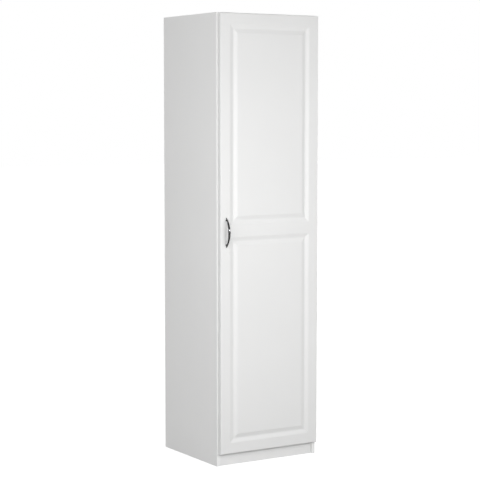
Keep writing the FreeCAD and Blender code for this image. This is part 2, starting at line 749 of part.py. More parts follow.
def hinge_cup(number, height, screws):
    """A drawn cup in the door's bore, with a flange screwed to the door's back."""
    name = f"hinge_cup_{number}"
    outer = "2 * cup_radius"
    deep = "(cup_bore_depth - cup_floor_gap)"
    shell = rod(f"{name}_shell", outer, deep, ("cup_x", "door_back", height), "-y")
    flange_left = "cup_x - cup_screw_offset - flange_width / 2"
    flange = box(f"{name}_flange", ("flange_width", "flange_thickness", "flange_height"),
                 (flange_left, "door_back", f"{height} - flange_height / 2"))
    rim = rod(f"{name}_rim", outer, "flange_thickness", ("cup_x", "door_back", height), "y")
    hollow = rod(f"{name}_hollow", "2 * (cup_radius - cup_wall)",
                 f"{deep} - cup_wall + 2 * flange_thickness",
                 ("cup_x", "door_back + 2 * flange_thickness", height), "-y")
    solid = fuse(f"{name}_solid", [shell, flange, rim])
    piece(name, cut(name, solid, [hollow, screws["cup"], screws["cup_pin"]]))


def build():
    fill_sheet()
    fittings = knock_down_fittings()
    nails = back_nails()
    bracket_screws = wall_bracket()
    screws = hinge_fasteners()
    carcass(fittings + [nails, bracket_screws], pin_holes(), screws["plate"])
    shelf_pins()
    adjustable_shelves()
    door_slab(screws["cup"], bow_pull())
    door_bumpers()
    for number in HINGES:
        height = f"hinge_{number}_height"
        hinge_plate(number, height, screws)
        hinge_arm(number, height, screws)
        hinge_link(number, height)
        hinge_cup(number, height, screws)
    doc.recompute()


def export():
    """Check the whole document, then write one file for each sub-part."""
    broken = [item.Label for item in doc.Objects if {"Invalid", "Error"} & set(item.State)]
    assert not broken, f"failed objects: {broken}"
    for name, item in pieces.items():
        shape = Part.getShape(item)
        assert not shape.isNull() and shape.isValid() and shape.Solids, f"bad shape: {name}"
    os.makedirs("parts", exist_ok=True)
    for name, item in pieces.items():
        shape = Part.getShape(item)
        shape.exportStep(f"parts/{name}.step")
        print(f"{name}: {len(shape.Solids)} solids, {shape.Volume / 1000:.2f} cm3")


build()
export()
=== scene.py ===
# %% [markdown]
# # A tall white storage cabinet
#
# The cabinet in this lesson is a narrow utility cupboard: white faced boards, one long door with two
# raised fields, a dark bow pull and, behind the door, shelves on pins and three concealed hinges.
# The boards and fittings come ready-made from a measured model, in metres, with the door facing -Y.
# Our work is what a workshop would call finishing. We ease the edges, rout the door, turn the pull,
# give every screw its cross slot, and mix a finish for each surface.

# %% Load the measured model
import json
import math

import bmesh
import bpy
from mathutils import Matrix, Vector


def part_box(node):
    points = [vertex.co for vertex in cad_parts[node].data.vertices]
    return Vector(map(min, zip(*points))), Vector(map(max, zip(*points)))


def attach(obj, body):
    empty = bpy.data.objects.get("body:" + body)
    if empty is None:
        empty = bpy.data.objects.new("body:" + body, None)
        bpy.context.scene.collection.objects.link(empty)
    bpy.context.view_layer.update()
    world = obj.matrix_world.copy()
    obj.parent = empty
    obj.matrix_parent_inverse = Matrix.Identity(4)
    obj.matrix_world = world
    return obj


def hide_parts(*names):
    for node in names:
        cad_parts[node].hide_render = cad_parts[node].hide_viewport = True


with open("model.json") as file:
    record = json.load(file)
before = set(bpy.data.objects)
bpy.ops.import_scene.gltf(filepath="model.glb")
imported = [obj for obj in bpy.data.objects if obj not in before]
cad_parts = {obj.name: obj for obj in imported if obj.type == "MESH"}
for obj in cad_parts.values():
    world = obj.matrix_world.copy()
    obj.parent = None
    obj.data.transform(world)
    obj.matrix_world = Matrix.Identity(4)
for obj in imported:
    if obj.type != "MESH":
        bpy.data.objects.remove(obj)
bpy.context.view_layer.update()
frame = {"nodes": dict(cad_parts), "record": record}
cad_nodes = frame["nodes"]
MM = 0.001

# %% [markdown]
# ## The camera
#
# The photograph was taken from the front left with a long lens, so the cabinet's upright edges stay
# almost parallel. A wide lens close by would make them lean. We could guess the view by eye, but it is
# surer to work it out from the box's corners: that gives the place, the turn and the lens below.
# The picture is square, so a sensor of 36 mm and this lens give the frame directly.

# %% Set up the camera
CAMERA_PLACE = (-3.231, -5.2085, 1.397)
CAMERA_TURN = math.radians(31.73)
CAMERA_DIP = math.radians(4.87)
CAMERA_LENS = 112.9
SENSOR_WIDTH = 36

bpy.ops.object.select_all(action="DESELECT")
bpy.ops.object.camera_add(location=CAMERA_PLACE, rotation=(math.pi / 2 - CAMERA_DIP, 0, -CAMERA_TURN))
camera = bpy.context.object
camera.name = "front_left_view"
camera.data.sensor_width = SENSOR_WIDTH
camera.data.lens = CAMERA_LENS
scene = bpy.context.scene
scene.camera = camera
scene.view_settings.view_transform = "Standard"
print(f"camera at {camera.location.to_tuple(3)}, lens {camera.data.lens:.1f} mm")

# %% [markdown]
# ## Small helpers for shader nodes
#
# A finish is a little network of nodes, and building one means adding a node, setting its options and
# filling or linking its sockets, over and over. One helper does all of that: a plain number or colour
# is written on the socket, and another node's output is linked to it. Constants then sit on the
# shader's own sockets, where they are easy to find.

# %% Node helpers
def add_node(tree, kind, options=None, inputs=None):
    """Add a node, set its options, and fill each named input with a value or a link."""
    node = tree.nodes.new(kind)
    for name, value in (options or {}).items():
        setattr(node, name, value)
    for name, value in (inputs or {}).items():
        if isinstance(value, bpy.types.NodeSocket):
            tree.links.new(value, node.inputs[name])
        else:
            node.inputs[name].default_value = value
    return node


def new_group(name, inputs, outputs):
    """A shader node group with its named inputs, each with a starting value, and its outputs."""
    group = bpy.data.node_groups.new(name, "ShaderNodeTree")
    for title, (kind, value) in inputs.items():
        socket = group.interface.new_socket(title, in_out="INPUT", socket_type=kind)
        socket.default_value = value
    for title in outputs:
        group.interface.new_socket(title, in_out="OUTPUT", socket_type="NodeSocketFloat")
    return group, add_node(group, "NodeGroupInput"), add_node(group, "NodeGroupOutput")


def new_material(name):
    """A node material, returned with its tree, its Principled BSDF and its Object coordinates."""
    material = bpy.data.materials.new(name)
    material.use_nodes = True
    tree = material.node_tree
    spot = add_node(tree, "ShaderNodeTexCoord").outputs["Object"]
    return material, tree, tree.nodes["Principled BSDF"], spot


def mix_tones(tree, mask, first, second):
    """The first colour where the mask is 0, the second where it is 1."""
    node = add_node(tree, "ShaderNodeMix", {"data_type": "RGBA"}, {"Factor": mask})
    for index, tone in zip(MIX_COLOURS, (first, second)):
        if isinstance(tone, bpy.types.NodeSocket):
            tree.links.new(tone, node.inputs[index])
        else:
            node.inputs[index].default_value = (*tone, 1)
    return node.outputs[MIX_RESULT]


def spread(tree, value, low, high, start=0.0, end=1.0):
    """Stretch a value that runs from start to end so that it runs from low to high."""
    node = add_node(tree, "ShaderNodeMapRange", None, {
        "Value": value, "From Min": start, "From Max": end, "To Min": low, "To Max": high})
    return node.outputs["Result"]


VECTOR_IN = ("NodeSocketVector", (0, 0, 0))
MIX_COLOURS = (6, 7)
MIX_RESULT = 2
print("node helpers ready")

# %% [markdown]
# ## Effects that several finishes share
#
# No real surface is one flat colour. Factory-made white still clouds a little from sheet to sheet, a
# pressed film has a skin like orange peel, and plated steel keeps the lines of the rollers that drew it.
# Each effect could be rebuilt in every material, but a node group is built once and then placed with its
# own scale, so a change here reaches them all. The groups put out only masks and heights.

# %% Shared effects
def make_clouding():
    """Slow, soft changes of tone: a mask from 0 to 1."""
    group, given, result = new_group("clouding", {
        "Vector": VECTOR_IN, "Scale": ("NodeSocketFloat", 4.0)}, ["Mask"])
    noise = add_node(group, "ShaderNodeTexNoise", None, {
        "Vector": given.outputs["Vector"], "Scale": given.outputs["Scale"], "Detail": 4.0, "Roughness": 0.55})
    mask = spread(group, noise.outputs["Fac"], 0.0, 1.0, start=0.3, end=0.7)
    group.links.new(mask, result.inputs["Mask"])
    return group


def make_orange_peel():
    """The fine, rounded dimples of a pressed film or a sprayed coat: a height."""
    group, given, result = new_group("orange_peel", {
        "Vector": VECTOR_IN, "Scale": ("NodeSocketFloat", 600.0)}, ["Height"])
    dimples = add_node(group, "ShaderNodeTexVoronoi", {"feature": "SMOOTH_F1"}, {
        "Vector": given.outputs["Vector"], "Scale": given.outputs["Scale"], "Smoothness": 0.8})
    ripple = add_node(group, "ShaderNodeTexNoise", None, {
        "Vector": given.outputs["Vector"], "Scale": given.outputs["Scale"], "Detail": 2.0})
    height = add_node(group, "ShaderNodeMath", {"operation": "ADD"})
    group.links.new(dimples.outputs["Distance"], height.inputs[0])
    group.links.new(ripple.outputs["Fac"], height.inputs[1])
    group.links.new(height.outputs["Value"], result.inputs["Height"])
    return group


def make_drawn_lines():
    """Long fine lines along one direction, as rolling and brushing leave: a mask from 0 to 1."""
    group, given, result = new_group("drawn_lines", {
        "Vector": VECTOR_IN, "Stretch": ("NodeSocketVector", (1, 1, 0.03)),
        "Scale": ("NodeSocketFloat", 3000.0)}, ["Mask"])
    longer = add_node(group, "ShaderNodeVectorMath", {"operation": "MULTIPLY"})
    group.links.new(given.outputs["Vector"], longer.inputs[0])
    group.links.new(given.outputs["Stretch"], longer.inputs[1])
    lines = add_node(group, "ShaderNodeTexNoise", None, {
        "Vector": longer.outputs["Vector"], "Scale": given.outputs["Scale"], "Detail": 3.0})
    mask = spread(group, lines.outputs["Fac"], 0.0, 1.0, start=0.25, end=0.75)
    group.links.new(mask, result.inputs["Mask"])
    return group


def place_group(tree, group, **inputs):
    """Put a shared effect into a material, with its own values."""
    return add_node(tree, "ShaderNodeGroup", {"node_tree": group}, inputs)


clouding = make_clouding()
orange_peel = make_orange_peel()
drawn_lines = make_drawn_lines()
print("shared effects:", ", ".join(group.name for group in bpy.data.node_groups))

# %% [markdown]
# ## White faced board and white door foil
#
# The carcass is particleboard faced with a hard white film, and its front edges are closed with an
# edge band, which is painted a little brighter than the film as a highlight along the lit front edges.
# The door is fibreboard under a white foil that is drawn down over the routed front in a vacuum press,
# so it is smoother and a touch glossier than the boards.
# Both are white plastic over wood: a pale base, a little clouding, a satin shine that wanders and the
# faintest orange peel. The film's pattern is far finer than a grain, so bump is the honest way to do it.

# %% White finishes
BAND_THICKNESS = 0.6 * MM
BAND_FADE = 1.2
SMOOTHER = 0.04
DULLER = 0.05
FRONT_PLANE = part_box("left_side_panel")[0].y


def white_finish(name, light, dark, gloss, peel_scale, peel_height):
    """White film: clouded tone, wandering gloss and a fine peel."""
    material, tree, shader, spot = new_material(name)
    cloud = place_group(tree, clouding, Vector=spot, Scale=3.0).outputs["Mask"]
    smudge = place_group(tree, clouding, Vector=spot, Scale=23.0).outputs["Mask"]
    peel = place_group(tree, orange_peel, Vector=spot, Scale=peel_scale).outputs["Height"]
    bump = add_node(tree, "ShaderNodeBump", None, {
        "Strength": 0.35, "Distance": peel_height, "Height": peel})
    tree.links.new(mix_tones(tree, cloud, light, dark), shader.inputs["Base Color"])
    tree.links.new(spread(tree, smudge, gloss - SMOOTHER, gloss + DULLER), shader.inputs["Roughness"])
    tree.links.new(bump.outputs["Normal"], shader.inputs["Normal"])
    return material, tree, shader, spot


def board_finish():
    """The film on the boards, with the band that closes their front edges, painted brighter as a highlight.
    """
    material, tree, shader, spot = white_finish(
        "white_board", (0.86, 0.86, 0.855), (0.845, 0.845, 0.84), 0.48, 900.0, 0.02 * MM)
    film = shader.inputs["Base Color"].links[0].from_socket
    depth = add_node(tree, "ShaderNodeSeparateXYZ", None, {"Vector": spot}).outputs["Y"]
    # The band's brighter colour is a painted highlight along the lit front edges.
    band = spread(tree, depth, 1.0, 0.0,
                  FRONT_PLANE + BAND_THICKNESS, FRONT_PLANE + BAND_FADE * BAND_THICKNESS)
    tree.links.new(mix_tones(tree, band, film, (0.89, 0.89, 0.885)), shader.inputs["Base Color"])
    return material


def foil_finish():
    """The foil on the door."""
    return white_finish("white_door", (0.80, 0.80, 0.795), (0.785, 0.785, 0.78), 0.42, 700.0, 0.015 * MM)[0]


finishes = {"white_board": board_finish(), "white_door": foil_finish()}
print("white finishes:", ", ".join(finishes))

# %% [markdown]
# ## Hardboard back
#
# The two thin back sheets are pressed wood fibre: brown and faintly flecked outside, painted white on
# the side that faces the shelves. We could split the sheet into two pieces, but paint is only a skin,
# so the finish itself changes from brown to white with the depth of the point in the sheet.

# %% Hardboard finish
PAINT_SKIN = 0.3 * MM


def hardboard_finish():
    """Brown flecked fibre with a painted inner face."""
    material, tree, shader, spot = new_material("hardboard")
    cloud = place_group(tree, clouding, Vector=spot, Scale=9.0).outputs["Mask"]
    fleck = place_group(tree, clouding, Vector=spot, Scale=420.0).outputs["Mask"]
    fibre = mix_tones(tree, fleck, mix_tones(tree, cloud, (0.27, 0.165, 0.09), (0.23, 0.135, 0.07)),
                      (0.36, 0.235, 0.135))
    depth = add_node(tree, "ShaderNodeSeparateXYZ", None, {"Vector": spot}).outputs["Y"]
    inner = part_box("upper_back_sheet")[0].y
    paint = spread(tree, depth, 1.0, 0.0, inner + PAINT_SKIN, inner + 2 * PAINT_SKIN)
    tree.links.new(mix_tones(tree, paint, fibre, (0.78, 0.78, 0.77)), shader.inputs["Base Color"])
    tree.links.new(spread(tree, fleck, 0.5, 0.75), shader.inputs["Roughness"])
    bump = add_node(tree, "ShaderNodeBump", None, {
        "Strength": 0.4, "Distance": 0.05 * MM, "Height": fleck})
    tree.links.new(bump.outputs["Normal"], shader.inputs["Normal"])
    return material


finishes["hardboard"] = hardboard_finish()
print("hardboard finish ready")

# %% [markdown]
# ## Metals
#
# There are three kinds of metal here. The pull is polished, and its nearly black colour is a painted
# reflection of dark surroundings, so it shows only what is bright around it. Hinges, pins and bracket
# are plated pressed steel, pale with fine drawn lines.
# Screws and cam locks are zinc, bluer and duller. All are the same recipe with other numbers: full
# metal, a tone that shifts along the lines, and a roughness that does the same.

# %% Metal finishes
def metal_finish(name, light, dark, smooth, dull, stretch, line_height):
    """Plated or polished metal with drawn lines."""
    material, tree, shader, spot = new_material(name)
    lines = place_group(tree, drawn_lines, Vector=spot, Stretch=stretch).outputs["Mask"]
    cloud = place_group(tree, clouding, Vector=spot, Scale=60.0).outputs["Mask"]
    shader.inputs["Metallic"].default_value = 1.0
    tree.links.new(mix_tones(tree, cloud, light, dark), shader.inputs["Base Color"])
    tree.links.new(spread(tree, lines, smooth, dull), shader.inputs["Roughness"])
    bump = add_node(tree, "ShaderNodeBump", None, {
        "Strength": 0.2, "Distance": line_height, "Height": lines})
    tree.links.new(bump.outputs["Normal"], shader.inputs["Normal"])
    return material


UPRIGHT_LINES = (1.0, 1.0, 0.04)
ACROSS_LINES = (1.0, 0.04, 1.0)
ROUND_GRAIN = (0.3, 0.3, 0.3)
# The pull's near-black colour is a painted reflection of dark surroundings in polished metal.
finishes["pull_metal"] = metal_finish(
    "pull_metal", (0.058, 0.058, 0.060), (0.048, 0.048, 0.050), 0.06, 0.10, UPRIGHT_LINES, 0.002 * MM)
finishes["hinge_steel"] = metal_finish(
    "hinge_steel", (0.66, 0.65, 0.63), (0.58, 0.575, 0.56), 0.22, 0.36, ACROSS_LINES, 0.01 * MM)
finishes["pin_steel"] = metal_finish(
    "pin_steel", (0.68, 0.67, 0.65), (0.60, 0.595, 0.58), 0.25, 0.38, ROUND_GRAIN, 0.01 * MM)
finishes["screw_zinc"] = metal_finish(
    "screw_zinc", (0.62, 0.64, 0.66), (0.52, 0.54, 0.57), 0.28, 0.42, ROUND_GRAIN, 0.01 * MM)
finishes["cam_zinc"] = metal_finish(
    "cam_zinc", (0.50, 0.51, 0.52), (0.40, 0.41, 0.42), 0.42, 0.58, ROUND_GRAIN, 0.02 * MM)
finishes["bracket_steel"] = metal_finish(
    "bracket_steel", (0.62, 0.63, 0.65), (0.54, 0.55, 0.57), 0.30, 0.45, UPRIGHT_LINES, 0.01 * MM)
print("metals:", ", ".join(name for name in finishes if "metal" in name or "steel" in name or "zinc" in name))

# %% [markdown]
# ## Beech dowels and clear bumpers
#
# Dowels hold the boards in line and are never seen once the cabinet is up, but they are still beech, with
# grain along their length. The two bumpers on the back of the door are clear soft plastic, a little
# cloudy, so light passes through them and they read as a faint grey dot.

# %% Wood and clear plastic
def beech_finish():
    """Pale wood with grain along X, the way the dowels lie."""
    material, tree, shader, spot = new_material("dowel_wood")
    grain = place_group(tree, drawn_lines, Vector=spot, Stretch=(0.05, 1.0, 1.0), Scale=900.0).outputs["Mask"]
    wood = mix_tones(tree, grain, (0.60, 0.42, 0.24), (0.46, 0.30, 0.16))
    tree.links.new(wood, shader.inputs["Base Color"])
    tree.links.new(spread(tree, grain, 0.55, 0.75), shader.inputs["Roughness"])
    return material


def bumper_finish():
    """Clear soft plastic, slightly clouded."""
    material, tree, shader, spot = new_material("bumper_clear")
    cloud = place_group(tree, clouding, Vector=spot, Scale=300.0).outputs["Mask"]
    shader.inputs["Transmission Weight"].default_value = 0.85
    shader.inputs["IOR"].default_value = 1.47
    plastic = mix_tones(tree, cloud, (0.86, 0.86, 0.85), (0.80, 0.80, 0.79))
    tree.links.new(plastic, shader.inputs["Base Color"])
    tree.links.new(spread(tree, cloud, 0.18, 0.32), shader.inputs["Roughness"])
    return material


finishes["dowel_wood"] = beech_finish()
finishes["bumper_clear"] = bumper_finish()
print(f"{len(finishes)} finishes in all")

# %% [markdown]
# ## Dress the boards and fittings
#
# Every ready-made piece takes the finish that the parts list names for it. Its edges come out razor
# sharp, which no sawn, banded or pressed edge is, and a sharp edge never catches the light. Two live
# modifiers mend that without touching the mesh: Weld joins the loose triangles, and Bevel rounds every
# edge that turns by more than its angle. The width is small, and chosen for each kind of material.

# %% Finish and ease the carried-over pieces
EASED = {
    "white_board": 0.8 * MM,
    "hardboard": 0.2 * MM,
    "hinge_steel": 0.25 * MM,
    "pin_steel": 0.2 * MM,
    "cam_zinc": 0.25 * MM,
    "bracket_steel": 0.3 * MM,
}
EASE_ANGLE = math.radians(35)
WELD_REACH = 0.001 * MM


def ease_edges(piece, width):
    """Weld the loose triangles, then round the sharp edges."""
    weld = piece.modifiers.new("joined_triangles", "WELD")
    weld.merge_threshold = WELD_REACH
    bevel = piece.modifiers.new("eased_edges", "BEVEL")
    bevel.width = width
    bevel.segments = 3
    bevel.limit_method = "ANGLE"
    bevel.angle_limit = EASE_ANGLE
    bevel.use_clamp_overlap = False
    bevel.loop_slide = False
    bevel.harden_normals = True


for part in frame["record"]["subparts"]:
    node = cad_nodes[part["node"]]
    node.data.materials.clear()
    node.data.materials.append(finishes[part["material_slot"]])
    if part["material_slot"] in EASED:
        ease_edges(node, EASED[part["material_slot"]])

# %% [markdown]
# ## Helpers for modelling by hand
#
# An operator works on whatever is selected, so each new piece starts with nothing selected. Then a block
# is added at its size and place, and in edit mode we select faces or edges by a test on where they
# are. The place is applied to the mesh, which leaves the object itself at the origin, unturned.

# %% Modelling helpers
def start_clean():
    """Go back to object mode with nothing selected."""
    if bpy.context.mode != "OBJECT":
        bpy.ops.object.mode_set(mode="OBJECT")
    bpy.ops.object.select_all(action="DESELECT")


def settle(piece, name):
    """Name a new piece and move its place into its mesh."""
    piece.name = name
    piece.data.name = name
    bpy.ops.object.transform_apply(location=True, rotation=True, scale=True)
    return piece


def add_block(name, low, high):
    """A cube stretched between two corners."""
    start_clean()
    bpy.ops.mesh.primitive_cube_add(size=1, location=(low + high) / 2)
    bpy.context.object.scale = high - low
    return settle(bpy.context.object, name)


def add_rod(name, radius, start, end, sides):
    """A cylinder from one point to another."""
    start_clean()
    along = end - start
    turn = along.to_track_quat("Z", "Y").to_euler()
    bpy.ops.mesh.primitive_cylinder_add(
        vertices=sides, radius=radius, depth=along.length, location=(start + end) / 2, rotation=turn)
    return settle(bpy.context.object, name)


def edit(piece, kind):
    """Open one piece in edit mode, ready to select points, edges or faces."""
    start_clean()
    bpy.context.view_layer.objects.active = piece
    piece.select_set(True)
    bpy.ops.object.mode_set(mode="EDIT")
    bpy.ops.mesh.select_mode(type=kind)
    bpy.ops.mesh.select_all(action="DESELECT")


def choose(piece, test):
    """Select the faces or edges that pass a test, and return how many there are."""
    mesh = bmesh.from_edit_mesh(piece.data)
    faces = bpy.context.tool_settings.mesh_select_mode[2]
    chosen = [item for item in (mesh.faces if faces else mesh.edges) if test(item)]
    bpy.ops.mesh.select_all(action="DESELECT")
    for item in chosen:
        item.select_set(True)
    bmesh.update_edit_mesh(piece.data)
    return len(chosen)


def apply_modifier(piece, kind, **settings):
    """Add a modifier, set it and apply it."""
    start_clean()
    bpy.context.view_layer.objects.active = piece
    piece.select_set(True)
    modifier = piece.modifiers.new(kind.lower(), kind)
    for name, value in settings.items():
        setattr(modifier, name, value)
    bpy.ops.object.modifier_apply(modifier=modifier.name)


def shade(piece, angle):
    """Smooth shading with sharp corners, flat faces kept flat by their size."""
    start_clean()
    bpy.context.view_layer.objects.active = piece
    piece.select_set(True)
    bpy.ops.object.shade_smooth_by_angle(angle=math.radians(angle), keep_sharp_edges=True)
    apply_modifier(piece, "WEIGHTED_NORMAL", keep_sharp=True, weight=100)


def hand_over(piece, body, slot, *stands_for):
    """Give a finished piece its material and its body, and hide the nodes that it stands for."""
    piece.data.materials.clear()
    piece.data.materials.append(finishes[slot])
    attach(piece, body)
    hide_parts(*stands_for)
    print(f"{piece.name}: {len(piece.data.polygons)} faces, rides on {body}")


print("modelling helpers ready")

# %% [markdown]
# ## The door: a slab with soft edges
#
# The real door is one fibreboard panel. A cutter rounds its front edges, and later the foil is stretched
# over them. We do the same: a block at the door's size, whose four front edges get a generous
# round and whose back edges are only eased. Rounding comes before routing, while the front is one face.

# %% Door slab
EDGE_ROUND = 3 * MM
EDGE_EASE = 1 * MM
TINY = 0.01 * MM
door_low, door_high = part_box("door_slab")
door = add_block("raised_field_door", door_low, door_high)

edit(door, "EDGE")
front_edges = choose(door, lambda edge: all(abs(v.co.y - door_low.y) < TINY for v in edge.verts))
bpy.ops.mesh.bevel(offset=EDGE_ROUND, segments=8, profile=0.5, affect="EDGES")
back_edges = choose(door, lambda edge: all(abs(v.co.y - door_high.y) < TINY for v in edge.verts))
bpy.ops.mesh.bevel(offset=EDGE_EASE, segments=3, profile=0.5, affect="EDGES")
print(f"rounded {front_edges} front edges, eased {back_edges} back edges")

# %% [markdown]
# ## The door: two raised fields
#
# A shaped router bit runs round each field. It leaves two straight slopes, one down from the frame and one
# up to the field, with a shallow hollow between them, and the foil softens both shoulders. Where two runs
# meet, the corners are mitred.
# We could sweep a profile along a path, but Inset does exactly what the cutter does: it steps inwards by
# a little and sinks by a little, and it mitres the corners by itself. First Bisect divides the
# front along the lines where the cutting starts, then each field is inset step by step.

# %% Rout the fields
STILE_LINE = 60 * MM
TOP_RAIL_LINE = 59 * MM
BOTTOM_RAIL_LINE = 60 * MM
MID_RAIL_HEIGHT = 932.5 * MM
MID_RAIL_WIDTH = 81 * MM
GROOVE_SLOPE = 19 * MM
GROOVE_DEPTH = 5 * MM
GROOVE_HOLLOW = 4 * MM
GROOVE_SHOULDER = 4 * MM
SLOPE_STEPS = 19
FACING_FRONT = -0.999

FIELDS = {
    "lower": (door_low.z + BOTTOM_RAIL_LINE, MID_RAIL_HEIGHT - MID_RAIL_WIDTH / 2),
    "upper": (MID_RAIL_HEIGHT + MID_RAIL_WIDTH / 2, door_high.z - TOP_RAIL_LINE),
}


def groove_depth(distance):
    """Depth at a distance from the groove's line: a hollow, a straight slope and a soft shoulder."""
    fall = GROOVE_DEPTH / (GROOVE_SLOPE - (GROOVE_HOLLOW + GROOVE_SHOULDER) / 2)
    left = GROOVE_SLOPE - distance
    if left < GROOVE_SHOULDER:
        return fall * left ** 2 / (2 * GROOVE_SHOULDER)
    if distance < GROOVE_HOLLOW:
        return GROOVE_DEPTH - fall * distance ** 2 / (2 * GROOVE_HOLLOW)
    return fall * (left - GROOVE_SHOULDER / 2)


def groove_steps():
    """Inward and downward step of each inset, from the frame's face over the line to the field's."""
    stride = GROOVE_SLOPE / SLOPE_STEPS
    distances = [abs(step) * stride for step in range(-SLOPE_STEPS, SLOPE_STEPS + 1)]
    for before, after in zip(distances, distances[1:]):
        yield stride, groove_depth(before) - groove_depth(after)


def is_front(face):
    """True for a flat face in the plane of the door's front."""
    return face.normal.y < FACING_FRONT and face.calc_center_median().y < door_low.y + TINY


edit(door, "FACE")
cuts = [((x, 0, 0), (1, 0, 0)) for x in (door_low.x + STILE_LINE - GROOVE_SLOPE,
                                         door_high.x - STILE_LINE + GROOVE_SLOPE)]
for low, high in FIELDS.values():
    cuts += [((0, 0, z), (0, 0, 1)) for z in (low - GROOVE_SLOPE, high + GROOVE_SLOPE)]
for point, normal in cuts:
    choose(door, is_front)
    bpy.ops.mesh.bisect(plane_co=point, plane_no=normal)
for name, (low, high) in FIELDS.items():
    middle = Vector(((door_low.x + door_high.x) / 2, door_low.y, (low + high) / 2))
    choose(door, lambda face: is_front(face) and (face.calc_center_median() - middle).length < 10 * TINY)
    for inward, drop in groove_steps():
        bpy.ops.mesh.inset(thickness=inward, depth=drop)
    print(f"{name} field: groove from {low:.3f} to {high:.3f} m")

# %% [markdown]
# ## The door: hinge bores and shading
#
# Three flat-bottomed bores in the back take the hinge cups. A drill cuts them on the real door, and a
# Boolean with three rods is our drill. For shading, the mitres have to stay crisp: a smoothed mitre would
# smear its tilt along the whole length of the slope. So the slanting edges are marked sharp, the
# curved runs are smoothed, and weighted normals keep the large flat faces flat.

# %% Bore and shade the door
CUP_RADIUS = 17.5 * MM
CUP_DEPTH = 11.5 * MM
CUP_CLEARANCE = 0.1 * MM
DRILL_OVERLAP = 1 * MM
DRILL_SIDES = 96
MITRE_REACH = 6 * MM
HINGES = ("1", "2", "3")


def is_mitre(edge):
    """True for an edge on the front that runs aslant."""
    along = edge.verts[1].co - edge.verts[0].co
    deepest = max(v.co.y for v in edge.verts)
    return min(abs(along.x), abs(along.z)) > TINY and deepest < door_low.y + MITRE_REACH


edit(door, "EDGE")
mitres = choose(door, is_mitre)
bpy.ops.mesh.mark_sharp()
cutters = []
for number in HINGES:
    cup_low, cup_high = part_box(f"hinge_cup_{number}")
    centre = Vector((cup_high.x - CUP_RADIUS + CUP_CLEARANCE, door_high.y, (cup_low.z + cup_high.z) / 2))
    cutters.append(add_rod("cup_drill", CUP_RADIUS, centre - Vector((0, CUP_DEPTH, 0)),
                           centre + Vector((0, DRILL_OVERLAP, 0)), DRILL_SIDES))
for cutter in cutters:
    apply_modifier(door, "BOOLEAN", object=cutter, operation="DIFFERENCE", solver="EXACT")
    bpy.data.objects.remove(cutter)
shade(door, angle=25)
hand_over(door, "door", "white_door", "door_slab")
print(f"{mitres} mitre edges kept sharp, {len(cutters)} bores")

# %% [markdown]
# ## The bow pull
#
# The pull is a slim cast bow, thickest in the middle and drawn out to two points that rest on the door,
# with a short post and a screw near each end. It could be swept along a curve, but
# the shape is plainest as what it would be on a lathe: a spindle, flattened, then bent. One point is
# extruded along half the outline, Spin turns it round the axis, and Simple Deform bends it. Before the
# bend the front is pressed flat, because that flat is what catches the light as one short white glint.

# %% Turn and bend the pull
PULL_LENGTH = 116 * MM
PULL_WIDTH = 10 * MM
PULL_THICKNESS = 7 * MM
PULL_TIP = 3.4 * MM
PULL_FULLNESS = 1.25
NOSE_START = 0.96
PULL_STATIONS = 40
PULL_SIDES = 48

pull_low, pull_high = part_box("bow_pull")
pull_middle = Vector(((pull_low.x + pull_high.x) / 2, door_low.y, (pull_low.z + pull_high.z) / 2))
rise = pull_high.y - pull_low.y - PULL_THICKNESS / 2
bow_radius = ((PULL_LENGTH / 2) ** 2 + rise ** 2) / (2 * rise)
bow_angle = 2 * math.asin(PULL_LENGTH / 2 / bow_radius)
spindle_length = bow_radius * bow_angle


def spindle_radius(share):
    """Half width of the bow, from its middle at 0 to its rounded tip at 1 or -1."""
    swell = PULL_TIP + (PULL_WIDTH - PULL_TIP) * math.cos(share * math.pi / 2)
    into_nose = max(0.0, (abs(share) - NOSE_START) / (1 - NOSE_START))
    nose = math.sqrt(max(0.0, 1 - into_nose ** 2))
    return swell / 2 * nose


start_clean()
bpy.ops.mesh.primitive_plane_add(size=PULL_TIP, location=(0, 0, 0))
pull = settle(bpy.context.object, "bow_pull_turned")
edit(pull, "VERT")
bpy.ops.mesh.select_all(action="SELECT")
bpy.ops.mesh.merge(type="CENTER")
bpy.ops.transform.translate(value=(0, 0, -spindle_length / 2))
shares = [-math.cos(math.pi * station / PULL_STATIONS) for station in range(PULL_STATIONS + 1)]
for before, after in zip(shares, shares[1:]):
    step = (spindle_radius(after) - spindle_radius(before), 0, (after - before) * spindle_length / 2)
    bpy.ops.mesh.extrude_region_move(TRANSFORM_OT_translate={"value": step})
bpy.ops.mesh.select_all(action="SELECT")
bpy.ops.mesh.spin(steps=PULL_SIDES, angle=2 * math.pi, center=(0, 0, 0), axis=(0, 0, 1))
bpy.ops.mesh.select_all(action="SELECT")
bpy.ops.mesh.remove_doubles(threshold=TINY)
bpy.ops.mesh.normals_make_consistent(inside=False)
flattening = PULL_FULLNESS * PULL_THICKNESS / PULL_WIDTH
bpy.ops.transform.resize(value=(1, flattening, 1), center_override=(0, 0, 0))
pull_front = -PULL_THICKNESS / 2
bpy.ops.mesh.select_mode(type="EDGE")
choose(pull, lambda edge: all(v.co.y < pull_front for v in edge.verts))
bpy.ops.transform.resize(value=(1, 0, 1), center_override=(0, pull_front, 0))
apply_modifier(pull, "SIMPLE_DEFORM", deform_method="BEND", deform_axis="X", angle=bow_angle)
print(f"bow of radius {bow_radius / MM:.1f} mm, bent by {math.degrees(bow_angle):.1f} degrees")

# %% [markdown]
# ## Posts for the pull
#
# The posts are cast in one with the bow, so we add two short rods that reach into it, put the whole at its
# place on the door, and trim away what would lie behind the door's face with Bisect.

# %% Join the posts and seat the pull
PULL_CENTRES = 96 * MM
POST_RADIUS = 3.25 * MM
POST_SIDES = 40

